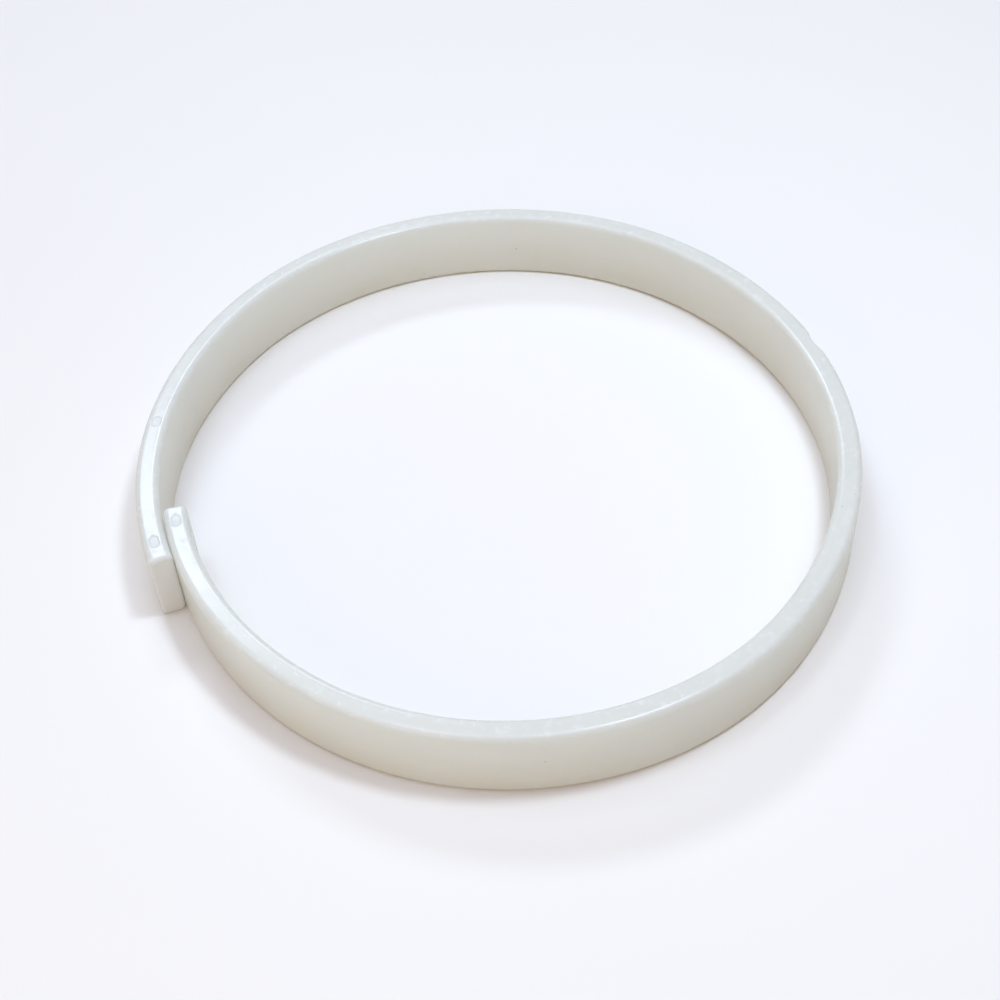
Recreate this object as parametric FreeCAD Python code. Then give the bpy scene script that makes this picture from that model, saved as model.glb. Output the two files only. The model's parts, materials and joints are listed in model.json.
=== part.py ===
import FreeCAD, Part
import math
import os

# A split band hoop: one flat strip of white nylon, moulded standing on edge as a ring that
# goes a little further than once round, so that its two free ends lie side by side.
# The strip works by bending. Here it is divided into equal sections, with a hinge line at
# each cut, so that the ring can be sprung open and squeezed shut as the bending strip is.
# +Z is up, and the origin is the centre of the ring's bounding box on its lower edge.

# Driving dimensions, in millimetres and degrees
WALL = 4.8                  # thickness of the strip, measured across the ring
HEIGHT = 16.0               # height of the strip, standing on edge
EDGE_RADIUS = 1.3           # rounding of the four long edges
END_RADIUS = 0.8            # rounding round each end face
SECTIONS = 13               # sections that the strip is divided into
CUT = 0.4                   # width of the cut between two sections

# The plan: tangent arcs of the strip's middle line, each with its radius and its turn,
# anticlockwise from the inner end to the outer end. The ring is slightly out of round.
INNER_END_ANGLE = -169.8    # direction in which the inner end's outer wall faces
ARCS = [(74.0, 41.7), (65.9, 88.6), (79.4, 87.0), (68.9, 98.5), (82.6, 55.1)]

# Marks that moulding leaves
PIN_MARK_WIDTH = 2.0        # oblong ejector pin marks in the upper edge
PIN_MARK_LENGTH = 3.2       # measured along the strip
PIN_MARK_DEPTH = 0.1
PIN_MARKS_FROM_INNER_END = [4.2]
PIN_MARKS_FROM_OUTER_END = [5.0, 40.0]
GATE_FROM_MIDDLE = -3.6     # place of the trimmed gate, from half way along the strip
GATE_RADIUS = 7.5           # radius of the hollow that trimming the gate left in the wall
GATE_DEPTH = 1.2            # depth of the hollow at the upper edge
GATE_HEIGHT = 9.0           # how far down from there the hollow runs out

UP = FreeCAD.Vector(0, 0, 1)
ORIGIN = FreeCAD.Vector(0, 0, 0)


def towards(angle, length):
    """A horizontal vector of a given length, at an angle from +X in degrees."""
    turn = math.radians(angle)
    return FreeCAD.Vector(length * math.cos(turn), length * math.sin(turn), 0)


def chained_arcs():
    """Centre, radius, first angle and last angle of each arc of the middle line."""
    arcs = []
    centre = ORIGIN
    angle = INNER_END_ANGLE
    last_radius = ARCS[0][0]
    for radius, turn in ARCS:
        centre = centre + towards(angle, last_radius - radius)
        arcs.append((centre, radius, angle, angle + turn))
        angle = angle + turn
        last_radius = radius
    return arcs


def reach(arcs, direction):
    """How far the outer wall goes from the origin in one direction, an angle in degrees."""
    way = towards(direction, 1)
    furthest = []
    for centre, radius, first, last in arcs:
        if (direction - first) % 360 <= last - first:
            furthest.append(centre.dot(way) + radius + WALL / 2)
    return max(furthest)


def centred_plan():
    """The chained arcs, moved so that the ring's bounding box is centred on the origin."""
    arcs = chained_arcs()
    middle_x = (reach(arcs, 0) - reach(arcs, 180)) / 2
    middle_y = (reach(arcs, 90) - reach(arcs, 270)) / 2
    move = FreeCAD.Vector(-middle_x, -middle_y, 0)
    return [(centre + move, radius, first, last) for centre, radius, first, last in arcs]


PLAN = centred_plan()
LENGTH = sum(radius * math.radians(turn) for radius, turn in ARCS)
GATE = LENGTH / 2 + GATE_FROM_MIDDLE


def place(distance):
    """The middle line's point, and the angle that the outer wall faces, at a distance
    along the strip from the inner end."""
    for centre, radius, first, last in PLAN:
        length = radius * math.radians(last - first)
        if distance <= length or last == PLAN[-1][3]:
            angle = first + math.degrees(distance / radius)
            return centre + towards(angle, radius), angle
        distance = distance - length


def band_profile(radius):
    """The strip's section, a rectangle with rounded corners, in the XZ plane."""
    inner = radius - WALL / 2
    outer = radius + WALL / 2
    r = EDGE_RADIUS
    corners = [
        (inner + r, r, 180),
        (outer - r, r, 270),
        (outer - r, HEIGHT - r, 0),
        (inner + r, HEIGHT - r, 90),
    ]
    rounds = []
    for x, z, start in corners:
        points = []
        for angle in (start, start + 45, start + 90):
            turn = math.radians(angle)
            points.append(FreeCAD.Vector(x + r * math.cos(turn), 0, z + r * math.sin(turn)))
        rounds.append(points)
    edges = []
    for number, points in enumerate(rounds):
        following = rounds[(number + 1) % len(rounds)]
        edges.append(Part.Arc(*points).toShape())
        edges.append(Part.LineSegment(points[-1], following[0]).toShape())
    return Part.Face(Part.Wire(edges))


def strip_between(start, stop):
    """The solid strip between two distances along the middle line."""
    pieces = []
    begun = 0.0
    for centre, radius, first, last in PLAN:
        length = radius * math.radians(last - first)
        low = max(start - begun, 0.0)
        high = min(stop - begun, length)
        if high > low:
            turn = math.degrees((high - low) / radius)
            piece = band_profile(radius).revolve(ORIGIN, UP, turn)
            piece.rotate(ORIGIN, UP, first + math.degrees(low / radius))
            piece.translate(centre)
            pieces.append(piece)
        begun = begun + length
    solid = pieces[0]
    for piece in pieces[1:]:
        solid = solid.fuse(piece)
    return solid.removeSplitter().Solids[0]


def rounded_end(solid, distance):
    """The solid with the edges round its free end face, at that distance, rounded."""
    point, angle = place(distance)
    along = towards(angle + 90, 1)
    edges = []
    for edge in solid.Edges:
        offsets = [abs((vertex.Point - point).dot(along)) for vertex in edge.Vertexes]
        if max(offsets) < 0.001:
            edges.append(edge)
    return solid.makeFillet(END_RADIUS, edges)


def pin_mark(distance):
    """What an ejector pin leaves out of the upper edge, a shallow oblong recess."""
    point, angle = place(distance)
    foot = HEIGHT - PIN_MARK_DEPTH
    straight = PIN_MARK_LENGTH - PIN_MARK_WIDTH
    mark = Part.makeBox(PIN_MARK_WIDTH, straight, 2 * PIN_MARK_DEPTH)
    mark.translate(FreeCAD.Vector(-PIN_MARK_WIDTH / 2, -straight / 2, foot))
    for side in (-1, 1):
        middle = FreeCAD.Vector(0, side * straight / 2, foot)
        end = Part.makeCylinder(PIN_MARK_WIDTH / 2, 2 * PIN_MARK_DEPTH, middle, UP)
        mark = mark.fuse(end)
    mark.rotate(ORIGIN, UP, angle)
    mark.translate(point)
    return mark.removeSplitter()


def gate_trim():
    """What trimming the gate removed from the outer wall, a leaning cylinder that cuts a
    hollow, deepest at the upper edge and running out downwards."""
    point, angle = place(GATE)
    lean = FreeCAD.Vector(-GATE_DEPTH, 0, GATE_HEIGHT)
    run_out = FreeCAD.Vector(WALL / 2 + GATE_RADIUS, 0, HEIGHT - GATE_HEIGHT)
    trim = Part.makeCylinder(GATE_RADIUS, 2 * GATE_HEIGHT, run_out - lean * 0.3, lean)
    trim.rotate(ORIGIN, UP, angle)
    trim.translate(point)
    return trim


def section(number):
    """One section of the strip, numbered from 1 at the inner end."""
    pitch = LENGTH / SECTIONS
    start = (number - 1) * pitch + (0 if number == 1 else CUT / 2)
    stop = number * pitch - (0 if number == SECTIONS else CUT / 2)
    solid = strip_between(start, stop)
    if number == 1:
        solid = rounded_end(solid, 0.0)
    if number == SECTIONS:
        solid = rounded_end(solid, LENGTH)
    marks = PIN_MARKS_FROM_INNER_END + [LENGTH - gap for gap in PIN_MARKS_FROM_OUTER_END]
    for distance in marks:
        if start < distance < stop:
            solid = solid.cut(pin_mark(distance))
    if start < GATE < stop:
        solid = solid.cut(gate_trim())
    return solid


def section_name(number):
    """The node's name: the two free ends have names of their own."""
    if number == 1:
        return "inner_end"
    if number == SECTIONS:
        return "outer_end"
    return f"band_{number:02d}"


os.makedirs("parts", exist_ok=True)
for number in range(1, SECTIONS + 1):
    shape = section(number)
    name = section_name(number)
    shape.exportStep(f"parts/{name}.step")
    print(name, f"{shape.Volume:.1f} mm3", "valid" if shape.isValid() else "NOT VALID")
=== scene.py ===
import json
import math

import bpy
from mathutils import Matrix, Vector, noise


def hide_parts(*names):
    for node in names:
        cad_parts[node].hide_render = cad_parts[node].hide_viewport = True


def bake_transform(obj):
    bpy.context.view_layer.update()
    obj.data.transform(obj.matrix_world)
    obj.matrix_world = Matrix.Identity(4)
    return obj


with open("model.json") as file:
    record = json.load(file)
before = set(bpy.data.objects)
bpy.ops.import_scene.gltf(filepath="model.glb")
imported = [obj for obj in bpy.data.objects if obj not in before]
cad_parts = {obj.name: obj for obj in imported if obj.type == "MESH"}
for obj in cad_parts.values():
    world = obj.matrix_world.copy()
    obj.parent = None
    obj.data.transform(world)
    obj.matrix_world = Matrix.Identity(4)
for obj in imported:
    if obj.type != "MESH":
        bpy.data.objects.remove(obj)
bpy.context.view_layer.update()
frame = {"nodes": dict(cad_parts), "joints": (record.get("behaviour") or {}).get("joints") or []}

# The looks of a split band hoop: one strip of natural white nylon, bent round into a ring
# whose two ends lie side by side. The CAD model divides the strip into sections with a
# hinge at each cut. Here the strip is whole again: each piece runs from the middle of one
# section to the middle of the next, across the hinge between them.
# Lengths are in metres and angles in degrees, unless a name says otherwise.

MM = 0.001

# The strip, with the CAD model's own driving dimensions
WALL = 4.8 * MM
HEIGHT = 16.0 * MM
EDGE_RADIUS = 1.3 * MM
END_RADIUS = 0.8 * MM
INNER_END_ANGLE = -169.8
ARCS = [(74.0, 41.7), (65.9, 88.6), (79.4, 87.0), (68.9, 98.5), (82.6, 55.1)]

# Marks of the moulding
PIN_WIDTH = 2.0 * MM
PIN_LENGTH = 3.2 * MM
PIN_DEPTH = 0.10 * MM
PINS_FROM_INNER_END = [4.2 * MM]
PINS_FROM_OUTER_END = [5.0 * MM, 40.0 * MM]
GATE_FROM_MIDDLE = -3.6 * MM
GATE_RADIUS = 7.5 * MM
GATE_DEPTH = 1.2 * MM
GATE_HEIGHT = 9.0 * MM
GATE_REACH = 5.0 * MM      # the gate's hollow ends within this distance of its middle

# Unevenness of the surface
WAVE = 0.030 * MM          # long waves
RIPPLE = 0.005 * MM        # short ripples
RIM_LINE = 0.020 * MM      # height of the line along the upper edge's inner rim
PIN_RIM = 0.015 * MM       # height of the ridge round an ejector pin's mark
TORN = 0.04 * MM           # unevenness of the torn gate
TORN_FROM = 0.3 * MM       # depth of the gate's hollow where it is fully torn

# The mesh
SLICE = 0.6 * MM           # distance between cross-sections
FINE_SLICE = 0.12 * MM     # the same, near a mark or a border between pieces
TOP_STEP = 0.14 * MM       # point spacing across the upper edge
FOOT_STEP = 0.5 * MM       # point spacing across the lower edge
WALL_STEP = 0.5 * MM       # point spacing up the walls
ROUND_STEPS = 10           # points round each rounded edge
SMALLEST = 0.05 * MM       # corner radius of the smallest rings on an end face
END_INSETS = [0.95, 1.15, 1.4, 1.7, 2.0, 2.3]    # rings on an end face, in mm from its rim

# The camera
TARGET = (0.0, -0.0125, 0.008)
ELEVATION = 46.0
ROLL = -3.40
DISTANCE = 0.3215
FOCAL_PIXELS = 1569.0
IMAGE_PIXELS = 1000
SENSOR = 36.0


# ---------------------------------------------------------------- the strip's plan

def towards(angle, length):
    """A horizontal vector of that length, at an angle from +X."""
    turn = math.radians(angle)
    return Vector((length * math.cos(turn), length * math.sin(turn), 0.0))


def reach(arcs, direction):
    """How far the outer wall goes from the origin in one direction, an angle."""
    way = towards(direction, 1.0)
    furthest = []
    for centre, radius, first, last in arcs:
        if (direction - first) % 360 <= last - first:
            furthest.append(centre.dot(way) + radius + WALL / 2)
    return max(furthest)


def centred_plan():
    """Centre, radius, first and last angle of each arc of the middle line, with the ring's
    bounding box centred on the origin."""
    arcs = []
    centre = Vector((0.0, 0.0, 0.0))
    angle = INNER_END_ANGLE
    last_radius = ARCS[0][0] * MM
    for radius_mm, turn in ARCS:
        radius = radius_mm * MM
        centre = centre + towards(angle, last_radius - radius)
        arcs.append((centre, radius, angle, angle + turn))
        angle = angle + turn
        last_radius = radius
    middle_x = (reach(arcs, 0) - reach(arcs, 180)) / 2
    middle_y = (reach(arcs, 90) - reach(arcs, 270)) / 2
    middle = Vector((middle_x, middle_y, 0.0))
    return [(centre - middle, radius, first, last) for centre, radius, first, last in arcs]


PLAN = centred_plan()
LENGTH = sum(radius * math.radians(last - first) for centre, radius, first, last in PLAN)
PINS = PINS_FROM_INNER_END + [LENGTH - gap for gap in PINS_FROM_OUTER_END]
GATE = LENGTH / 2 + GATE_FROM_MIDDLE


def place(distance):
    """The middle line's point at a distance from the inner end, the angle that the outer
    wall faces there, and the middle line's radius."""
    for number, (centre, radius, first, last) in enumerate(PLAN):
        length = radius * math.radians(last - first)
        if distance <= length or number == len(PLAN) - 1:
            angle = first + math.degrees(distance / radius)
            return centre + towards(angle, radius), angle, radius
        distance = distance - length


SECTIONS = len(frame["nodes"])
PITCH = LENGTH / SECTIONS


def section_name(number):
    """The CAD node and body of a section, numbered from 1 at the inner end."""
    if number == 1:
        return "inner_end"
    if number == SECTIONS:
        return "outer_end"
    return f"band_{number:02d}"


def check_plan():
    """Stops the script if the plan here isn't the one that the CAD model has."""
    for joint in frame["joints"]:
        number = int(joint["name"].split("_")[1])
        hinge = Vector(joint["pos_m"])
        point = place(number * PITCH)[0]
        if math.hypot(hinge.x - point.x, hinge.y - point.y) > 0.1 * MM:
            raise RuntimeError(f"the plan misses the hinge {joint['name']}")


check_plan()


# ---------------------------------------------------------------- the strip's section

def spread(first, last, step):
    """Values from first up to, but not with, last, about a step apart."""
    count = max(1, round(abs(last - first) / step))
    return [first + (last - first) * number / count for number in range(count)]


def rounded(across, up, radius, start):
    """Points round a corner, from one flat up to, but not with, the next."""
    points = []
    for number in range(ROUND_STEPS):
        turn = math.radians(start + 90 * number / ROUND_STEPS)
        normal = (math.cos(turn), math.sin(turn))
        points.append((across + radius * normal[0], up + radius * normal[1], normal))
    return points


def section_points(inset):
    """Points round the strip's section, each (across, up, normal), drawn in by inset.
    Across is measured outwards from the middle line. Every inset has as many points."""
    full = WALL / 2 - EDGE_RADIUS
    radius = max(EDGE_RADIUS, inset + SMALLEST)
    share = (WALL / 2 - radius) / full
    tall = (HEIGHT - 2 * radius) / (HEIGHT - 2 * EDGE_RADIUS)
    drawn = radius - inset
    wide = WALL / 2
    flats = [x * share for x in spread(-full, full, FOOT_STEP)]
    half = HEIGHT / 2 - EDGE_RADIUS
    heights = [z * tall for z in spread(-half, half, WALL_STEP)]
    tops = [x * share for x in spread(full, -full, TOP_STEP)]
    side = full * share
    foot = radius
    head = HEIGHT - radius
    points = [(x, inset, (0.0, -1.0)) for x in flats]
    points += rounded(side, foot, drawn, 270)
    points += [(wide - inset, HEIGHT / 2 + z, (1.0, 0.0)) for z in heights]
    points += rounded(side, head, drawn, 0)
    points += [(x, HEIGHT - inset, (0.0, 1.0)) for x in tops]
    points += rounded(-side, head, drawn, 90)
    points += [(inset - wide, HEIGHT / 2 - z, (-1.0, 0.0)) for z in heights]
    points += rounded(-side, foot, drawn, 180)
    return points


# ---------------------------------------------------------------- relief and marks

def smooth(value, low, high):
    """0 below low and 1 above high, with a smooth rise between."""
    share = min(1.0, max(0.0, (value - low) / (high - low)))
    return share * share * (3 - 2 * share)


def wander(*values):
    """Smooth noise between about -1 and 1 at a point."""
    return noise.noise(Vector(values))


def from_pin(distance, across):
    """The distance from the rim of the nearest ejector pin's mark, negative inside it."""
    straight = (PIN_LENGTH - PIN_WIDTH) / 2
    gaps = []
    for middle in PINS:
        along = max(0.0, abs(distance - middle) - straight)
        gaps.append(math.hypot(along, across) - PIN_WIDTH / 2)
    return min(gaps)


def pin_share(distance, across, up):
    """1 inside an ejector pin's mark in the upper edge, 0 outside."""
    if up < HEIGHT - 0.1 * MM:
        return 0.0
    return 1 - smooth(from_pin(distance, across), -0.14 * MM, 0.0)


def gate_depth(distance, up):
    """How deep the gate's hollow is in the outer wall: it is a leaning cylinder's cut,
    deepest at the upper edge and running out downwards. Zero or less is no cut."""
    off = distance - GATE
    if abs(off) > GATE_REACH:
        return 0.0
    curve = place(GATE)[2] + WALL / 2
    deepest = GATE_DEPTH * (up - HEIGHT + GATE_HEIGHT) / GATE_HEIGHT
    hollow = GATE_RADIUS - math.sqrt(GATE_RADIUS ** 2 - off ** 2)
    return deepest - hollow - off ** 2 / (2 * curve)


def trimmed(distance, across, up):
    """The across value after the gate's trimming has cut into the outer wall."""
    depth = gate_depth(distance, up)
    if depth <= 0.0:
        return across
    torn = wander(distance / (0.9 * MM), up / (0.5 * MM), 3.0)
    rough = TORN * torn * smooth(depth, 0.0, TORN_FROM)
    return min(across, WALL / 2 - depth + rough)


def gate_share(distance, across, up):
    """1 on the surface that the trimming of the gate has cut, 0 off it."""
    return smooth(across - trimmed(distance, across, up), 0.0, 0.06 * MM)


def relief(distance, across, up):
    """How far the surface stands out from the ideal section: the strip isn't quite even,
    a faint line runs along its inner rim, and the pins have left sunk marks."""
    wave = wander(distance / (23 * MM), across / (9 * MM), up / (12 * MM))
    ripple = wander(distance / (5 * MM), across / (2.5 * MM), up / (2.5 * MM))
    height = WAVE * wave + RIPPLE * ripple
    if up > HEIGHT - 0.1 * MM:
        line = abs(across + WALL / 2 - EDGE_RADIUS - 0.1 * MM)
        height = height + RIM_LINE * (1 - smooth(line, 0.02 * MM, 0.14 * MM))
        rim = abs(from_pin(distance, across) - 0.1 * MM)
        height = height + PIN_RIM * (1 - smooth(rim, 0.0, 0.16 * MM))
    return height - PIN_DEPTH * pin_share(distance, across, up)


# ---------------------------------------------------------------- the pieces' meshes

def slice_step(distance, start, stop):
    """The distance between cross-sections at a place in a piece."""
    marks = [abs(distance - GATE) - GATE_REACH]
    marks += [abs(distance - middle) - PIN_LENGTH / 2 for middle in PINS]
    borders = min(distance - start, stop - distance)
    if min(marks) < 0.5 * MM or borders < 0.5 * MM:
        return FINE_SLICE
    return SLICE


def slices(start, stop):
    """(Distance, inset, lean) of a piece's cross-sections. Lean is 0 along the strip and 1
    on a free end's face, where the surface faces along the strip."""
    rings = []
    begin = END_RADIUS if start == 0.0 else start
    finish = LENGTH - END_RADIUS if stop == LENGTH else stop
    here = begin
    while here < finish - FINE_SLICE / 2:
        rings.append((here, 0.0, 0.0))
        here = here + slice_step(here, begin, finish)
    rings.append((finish, 0.0, 0.0))
    corner = []
    for number in range(1, ROUND_STEPS + 1):
        turn = math.radians(90 * number / ROUND_STEPS)
        gap = END_RADIUS * (1 - math.sin(turn))
        inset = END_RADIUS * (1 - math.cos(turn))
        corner.append((gap, inset, math.sin(turn)))
    corner += [(0.0, inset * MM, 1.0) for inset in END_INSETS]
    if start == 0.0:
        rings = [(gap, inset, lean) for gap, inset, lean in reversed(corner)] + rings
    if stop == LENGTH:
        rings = rings + [(LENGTH - gap, inset, lean) for gap, inset, lean in corner]
    return rings


def strip_mesh(name, start, stop):
    """A mesh of the strip between two distances, closed only at a free end of the strip,
    with each point's place in the strip, in millimetres, and its share in each mark."""
    rings = slices(start, stop)
    vertices = []
    places = []
    pins = []
    gates = []
    for distance, inset, lean in rings:
        point, angle = place(distance)[:2]
        outwards = towards(angle, 1.0)
        forwards = towards(angle + 90, 1.0 if distance > LENGTH / 2 else -1.0)
        for across, up, normal in section_points(inset):
            height = relief(distance, across, up)
            level = height * math.sqrt(1 - lean * lean)
            wide = trimmed(distance, across + level * normal[0], up)
            tall = up + level * normal[1]
            bulge = forwards * (0.4 * height * lean)
            vertices.append(point + outwards * wide + Vector((0, 0, tall)) + bulge)
            places.append((distance / MM, across / MM, up / MM))
            pins.append(pin_share(distance, across, up))
            gates.append(gate_share(distance, across, up))
    count = len(section_points(0.0))
    faces = []
    for row in range(len(rings) - 1):
        for column in range(count):
            a = row * count + column
            b = row * count + (column + 1) % count
            faces.append((b, a, a + count, b + count))
    if start == 0.0:
        faces.append(tuple(range(count)))
    if stop == LENGTH:
        last = len(vertices) - count
        faces.append(tuple(reversed(range(last, len(vertices)))))
    mesh = bpy.data.meshes.new(name)
    mesh.from_pydata(vertices, [], faces)
    mesh.validate()
    for title, values in (("pin_mark", pins), ("gate_mark", gates)):
        layer = mesh.attributes.new(title, "FLOAT", "POINT")
        layer.data.foreach_set("value", values)
    layer = mesh.attributes.new("strip_place", "FLOAT_VECTOR", "POINT")
    layer.data.foreach_set("vector", [value for triple in places for value in triple])
    mesh.polygons.foreach_set("use_smooth", [True] * len(mesh.polygons))
    mesh.update()
    return mesh


# ---------------------------------------------------------------- materials

class Nodes:
    """Short ways to add nodes to a material's or a world's node tree."""

    def __init__(self, tree):
        self.tree = tree
        self.tree.nodes.clear()

    def add(self, kind, links=None, **settings):
        """A new node, with its settings, and values or links for its inputs."""
        new = self.tree.nodes.new(kind)
        for title, value in settings.items():
            setattr(new, title, value)
        for title, value in (links or {}).items():
            if isinstance(value, bpy.types.NodeSocket):
                self.tree.links.new(value, new.inputs[title])
            else:
                new.inputs[title].default_value = value
        return new

    def maths(self, operation, *values):
        """The result of a maths node on one to three values or sockets."""
        new = self.add("ShaderNodeMath", dict(enumerate(values)), operation=operation)
        return new.outputs[0]

    def rise(self, value, low, high, top=1.0):
        """A smooth rise from 0 at low to top at high."""
        given = {"Value": value, "From Min": low, "From Max": high, "To Min": 0.0, "To Max": top}
        new = self.add("ShaderNodeMapRange", given, interpolation_type="SMOOTHSTEP")
        return new.outputs[0]

    def noise(self, vector, scale, detail=2.0, roughness=0.5):
        """Noise from 0 to 1, at a scale per millimetre."""
        given = {"Vector": vector, "Scale": scale, "Detail": detail, "Roughness": roughness}
        return self.add("ShaderNodeTexNoise", given).outputs[0]

    def stretched(self, vector, sizes):
        """The vector multiplied axis by axis."""
        given = {0: vector, 1: sizes}
        return self.add("ShaderNodeVectorMath", given, operation="MULTIPLY").outputs[0]

    def mixed(self, share, first, second):
        """A colour between two colours."""
        new = self.add("ShaderNodeMix", {0: share, 6: first, 7: second}, data_type="RGBA")
        return new.outputs[2]


def new_material(name):
    """An empty node material."""
    material = bpy.data.materials.new(name)
    material.use_nodes = True
    return material


def nylon():
    """Natural white nylon: a little translucent, softly glossy, with cloudy flow marks, a
    pale mottling of the upper edge, a few specks, dull scuffs and a torn, matt gate."""
    material = new_material("natural_nylon")
    n = Nodes(material.node_tree)
    where = n.add("ShaderNodeAttribute", attribute_name="strip_place").outputs["Vector"]
    pin = n.add("ShaderNodeAttribute", attribute_name="pin_mark").outputs["Fac"]
    gate = n.add("ShaderNodeAttribute", attribute_name="gate_mark").outputs["Fac"]
    parts = n.add("ShaderNodeSeparateXYZ", {0: where})
    across = n.maths("ABSOLUTE", parts.outputs["Y"])
    up = parts.outputs["Z"]
    from_middle = n.maths("ABSOLUTE", n.maths("SUBTRACT", up, HEIGHT / MM / 2))

    # 1 on the four long rounded edges
    near_side = n.rise(across, 1.2, 2.2)
    near_top = n.rise(from_middle, 6.6, 7.7)
    edge = n.maths("MULTIPLY", near_side, near_top)

    # Flow of the melt along the strip, clouds all over it, scuffs, and painted shade in patches
    # at the foot
    clouds = n.noise(where, 0.07, 3.0, 0.55)
    flow = n.noise(n.stretched(where, (0.05, 0.9, 0.35)), 1.0, 3.0, 0.6)
    fine_flow = n.noise(n.stretched(where, (0.12, 5.0, 5.0)), 1.0, 2.0, 0.6)
    patches = n.noise(n.stretched(where, (0.22, 0.8, 0.8)), 1.0, 4.0, 0.65)
    scuff = n.maths("MULTIPLY", edge, n.rise(patches, 0.52, 0.66))
    foot = n.maths("SUBTRACT", 1.0, n.rise(up, 0.1, 1.6))
    painted_foot_shade = n.maths("MULTIPLY", foot, n.rise(patches, 0.35, 0.7))

    # Pale mottling of the upper edge
    level = n.rise(up, 15.3, 15.9)
    mottle = n.maths("MULTIPLY", level, n.rise(n.noise(where, 0.55, 4.0, 0.7), 0.50, 0.64))

    # Specks in the plastic, about one in every two square centimetres
    cells = n.add("ShaderNodeTexVoronoi", {"Vector": where, "Scale": 0.16}, feature="F1")
    speck_size = n.maths("MULTIPLY", n.noise(where, 0.11), 0.06)
    speck = n.maths("LESS_THAN", cells.outputs["Distance"], speck_size)
    dots = n.add("ShaderNodeTexVoronoi", {"Vector": where, "Scale": 0.9}, feature="F1")
    pock = n.maths("SUBTRACT", 1.0, n.rise(dots.outputs["Distance"], 0.05, 0.2))

    # Painted light and shade: paler towards the top, where the light falls, darker and warmer
    # towards the foot, and a painted glow at the two free ends
    half = LENGTH / MM / 2
    from_half_way = n.maths("ABSOLUTE", n.maths("SUBTRACT", parts.outputs["X"], half))
    painted_end_glow = n.rise(from_half_way, half - 2.0, half - 0.5, 0.8)
    painted_light_share = n.maths("MAXIMUM", n.rise(up, 0.0, 15.5), painted_end_glow)
    body = n.mixed(painted_light_share, (0.82, 0.79, 0.70, 1), (0.905, 0.915, 0.865, 1))
    body = n.mixed(n.rise(clouds, 0.3, 0.7, 0.4), body, (0.86, 0.87, 0.83, 1))
    body = n.mixed(n.rise(flow, 0.35, 0.7, 0.3), body, (0.88, 0.86, 0.81, 1))
    body = n.mixed(n.rise(fine_flow, 0.45, 0.75, 0.12), body, (0.78, 0.78, 0.77, 1))
    body = n.mixed(n.maths("MULTIPLY", mottle, 0.4), body, (0.97, 0.98, 0.98, 1))
    body = n.mixed(n.maths("MULTIPLY", pin, 0.35), body, (0.82, 0.84, 0.86, 1))
    body = n.mixed(n.maths("MULTIPLY", gate, 0.5), body, (0.92, 0.92, 0.91, 1))
    # painted glow: the two free ends made paler
    body = n.mixed(n.maths("MULTIPLY", painted_end_glow, 0.7), body, (0.97, 0.97, 0.97, 1))
    body = n.mixed(n.maths("MULTIPLY", scuff, 0.4), body, (0.92, 0.92, 0.92, 1))
    # painted shade: darker and warmer in patches at the foot
    body = n.mixed(n.maths("MULTIPLY", painted_foot_shade, 0.3), body, (0.60, 0.57, 0.52, 1))
    body = n.mixed(n.maths("MULTIPLY", speck, 0.35), body, (0.45, 0.40, 0.34, 1))

    rough = n.maths("MULTIPLY_ADD", clouds, 0.08, 0.11)
    rough = n.maths("MULTIPLY_ADD", fine_flow, 0.06, rough)
    rough = n.maths("MULTIPLY_ADD", mottle, 0.10, rough)
    rough = n.maths("MULTIPLY_ADD", scuff, 0.22, rough)
    rough = n.maths("MULTIPLY_ADD", gate, 0.30, rough)
    rough = n.maths("MULTIPLY_ADD", pin, 0.10, rough)

    # A slight orange peel, with fine scratches along the strip and small pocks
    peel = n.noise(where, 0.8, 2.0, 0.5)
    scratch = n.noise(n.stretched(where, (0.35, 9.0, 9.0)), 1.0, 3.0, 0.7)
    height = n.maths("MULTIPLY", peel, 0.7)
    height = n.maths("MULTIPLY_ADD", scratch, 0.25, height)
    height = n.maths("MULTIPLY_ADD", pock, -0.12, height)
    torn = n.maths("MULTIPLY", gate, n.noise(where, 3.0, 4.0, 0.7))
    height = n.maths("MULTIPLY_ADD", torn, 3.0, height)
    bump = n.add("ShaderNodeBump", {"Strength": 0.6, "Distance": 0.012 * MM, "Height": height})

    given = {
        "Base Color": body,
        "Roughness": rough,
        "IOR": 1.53,
        "Normal": bump.outputs[0],
    }
    solid = n.add("ShaderNodeBsdfPrincipled", given)
    through = n.add("ShaderNodeBsdfTranslucent", {"Color": body, "Normal": bump.outputs[0]})
    blend = n.add("ShaderNodeMixShader", {0: 0.38, 1: solid.outputs[0], 2: through.outputs[0]})
    n.add("ShaderNodeOutputMaterial", {"Surface": blend.outputs[0]})
    return material


def floor_material():
    """Matt off-white card, with a very faint mottle."""
    material = new_material("floor_card")
    n = Nodes(material.node_tree)
    where = n.add("ShaderNodeTexCoord").outputs["Object"]
    mottle = n.noise(where, 9.0, 3.0, 0.6)
    colour = n.mixed(mottle, (0.89, 0.85, 0.80, 1), (0.87, 0.83, 0.78, 1))
    grain = n.noise(where, 900.0, 2.0, 0.6)
    bump = n.add("ShaderNodeBump", {"Strength": 0.2, "Distance": 0.05 * MM, "Height": grain})
    given = {
        "Base Color": colour,
        "Roughness": 0.85,
        "Specular IOR Level": 0.2,
        "Normal": bump.outputs[0],
    }
    shader = n.add("ShaderNodeBsdfPrincipled", given)
    n.add("ShaderNodeOutputMaterial", {"Surface": shader.outputs[0]})
    return material


# ---------------------------------------------------------------- the pieces

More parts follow.
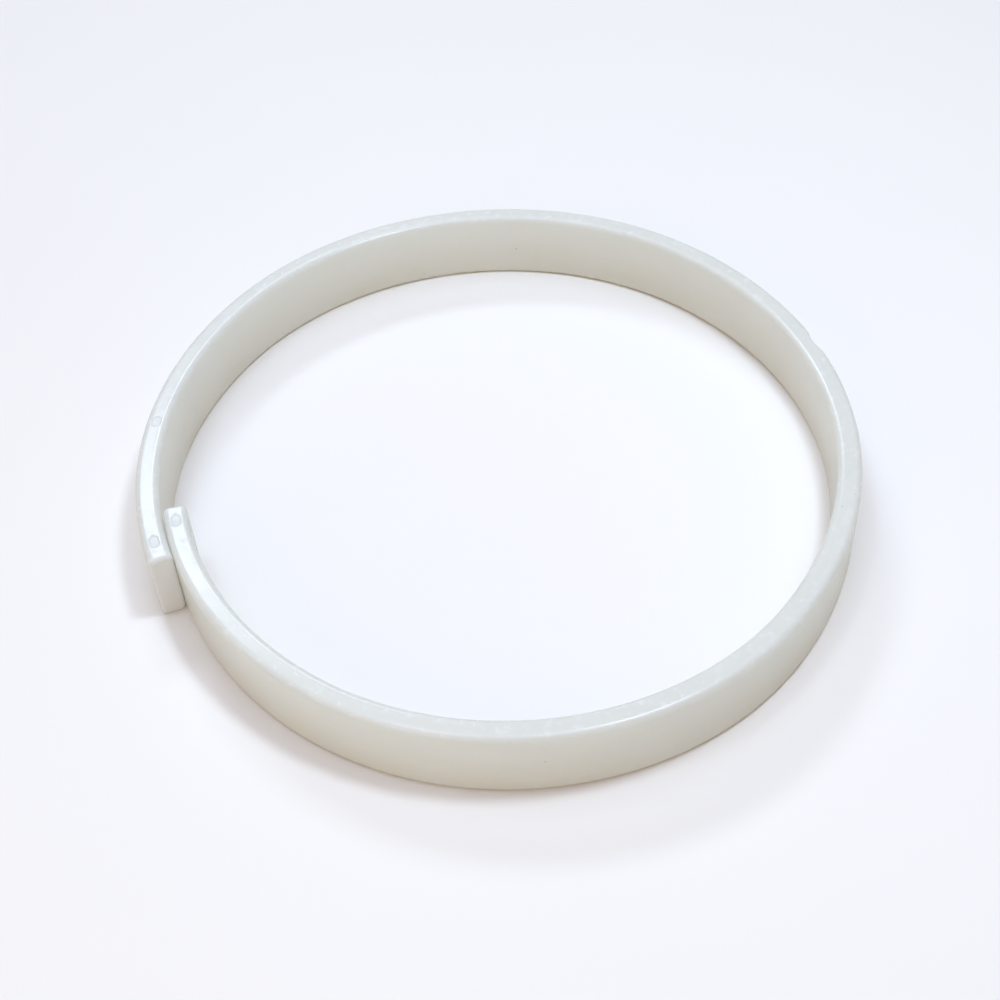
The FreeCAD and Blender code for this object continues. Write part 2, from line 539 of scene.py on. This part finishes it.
def build_strip():
    """The strip's pieces, each running across the hinge between the two sections that it spans,
    in place of those sections, which are hidden.
    """
    material = nylon()
    for number in range(1, SECTIONS):
        start = 0.0 if number == 1 else (number - 0.5) * PITCH
        stop = LENGTH if number == SECTIONS - 1 else (number + 0.5) * PITCH
        name = f"nylon_strip_{number:02d}"
        mesh = strip_mesh(name, start, stop)
        mesh.materials.append(material)
        piece = bpy.data.objects.new(name, mesh)
        bpy.context.scene.collection.objects.link(piece)
        here = section_name(number)
        there = section_name(number + 1)
        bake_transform(piece)
        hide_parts(here)
        if number == SECTIONS - 1:
            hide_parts(there)


build_strip()


# ---------------------------------------------------------------- floor, light, camera

def build_floor():
    """A wide flat floor under the hoop."""
    mesh = bpy.data.meshes.new("floor")
    far = 6.0
    corners = [(-far, -far, 0.0), (far, -far, 0.0), (far, far, 0.0), (-far, far, 0.0)]
    mesh.from_pydata(corners, [], [(0, 1, 2, 3)])
    mesh.materials.append(floor_material())
    floor = bpy.data.objects.new("floor", mesh)
    bpy.context.scene.collection.objects.link(floor)


def add_light(name, azimuth, elevation, distance, size, power, colour):
    """A rectangular soft light that looks at the middle of the hoop."""
    data = bpy.data.lights.new(name, "AREA")
    data.shape = "RECTANGLE"
    data.size, data.size_y = size
    data.energy = power
    data.color = colour
    light = bpy.data.objects.new(name, data)
    bpy.context.scene.collection.objects.link(light)
    flat = towards(azimuth, distance * math.cos(math.radians(elevation)))
    light.location = flat + Vector((0, 0, distance * math.sin(math.radians(elevation))))
    light.rotation_euler = (-light.location).to_track_quat("-Z", "Y").to_euler()


def build_room():
    """A warm room with a bright cool ceiling. What the camera sees past the floor's edge is
    a plain grey backdrop."""
    world = bpy.data.worlds.new("room")
    world.use_nodes = True
    n = Nodes(world.node_tree)
    direction = n.add("ShaderNodeTexCoord").outputs["Generated"]
    up = n.add("ShaderNodeSeparateXYZ", {0: direction}).outputs["Z"]
    room = n.mixed(n.rise(up, 0.86, 0.93), (0.36, 0.293, 0.225, 1), (1.28, 1.50, 2.05, 1))
    seen = n.add("ShaderNodeLightPath").outputs["Is Camera Ray"]
    shown = n.mixed(seen, room, (0.474, 0.440, 0.434, 1))
    shade = n.add("ShaderNodeBackground", {"Color": shown})
    n.add("ShaderNodeOutputWorld", {"Surface": shade.outputs[0]})
    bpy.context.scene.world = world


def build_light():
    """Four small cool windows that glint on the rounded edges, and a soft warm fill from
    the front, in a room with a bright ceiling."""
    cool = (0.70, 0.84, 1.0)
    warm = (1.0, 0.86, 0.72)
    add_light("right_window", -9, 75, 0.5, (0.075, 0.075), 0.95, cool)
    add_light("left_window", -173, 76, 1.0, (0.12, 0.12), 0.65, cool)
    add_light("side_window", 160, 53, 1.0, (0.05, 0.05), 0.14, cool)
    add_light("back_window", 108, 46, 1.0, (0.38, 0.15), 2.6, cool)
    add_light("front_fill", -122, 25, 0.5, (0.40, 0.30), 0.45, warm)
    build_room()
    bpy.context.scene.view_settings.view_transform = "Standard"


def build_camera():
    """The camera at the viewing angle, with the ring a little below the view's middle."""
    back = Vector((0.0, -math.cos(math.radians(ELEVATION)), math.sin(math.radians(ELEVATION))))
    right = Vector((1.0, 0.0, 0.0))
    upwards = back.cross(right)
    turn = math.radians(ROLL)
    side = right * math.cos(turn) + upwards * math.sin(turn)
    top = upwards * math.cos(turn) - right * math.sin(turn)
    data = bpy.data.cameras.new("camera")
    data.sensor_width = SENSOR
    data.lens = SENSOR * FOCAL_PIXELS / IMAGE_PIXELS
    data.clip_start = 0.01
    data.clip_end = 50.0
    camera = bpy.data.objects.new("camera", data)
    bpy.context.scene.collection.objects.link(camera)
    turned = Matrix((side, top, back)).transposed().to_4x4()
    camera.matrix_world = Matrix.Translation(Vector(TARGET) + back * DISTANCE) @ turned
    bpy.context.scene.camera = camera


build_floor()
build_light()
build_camera()
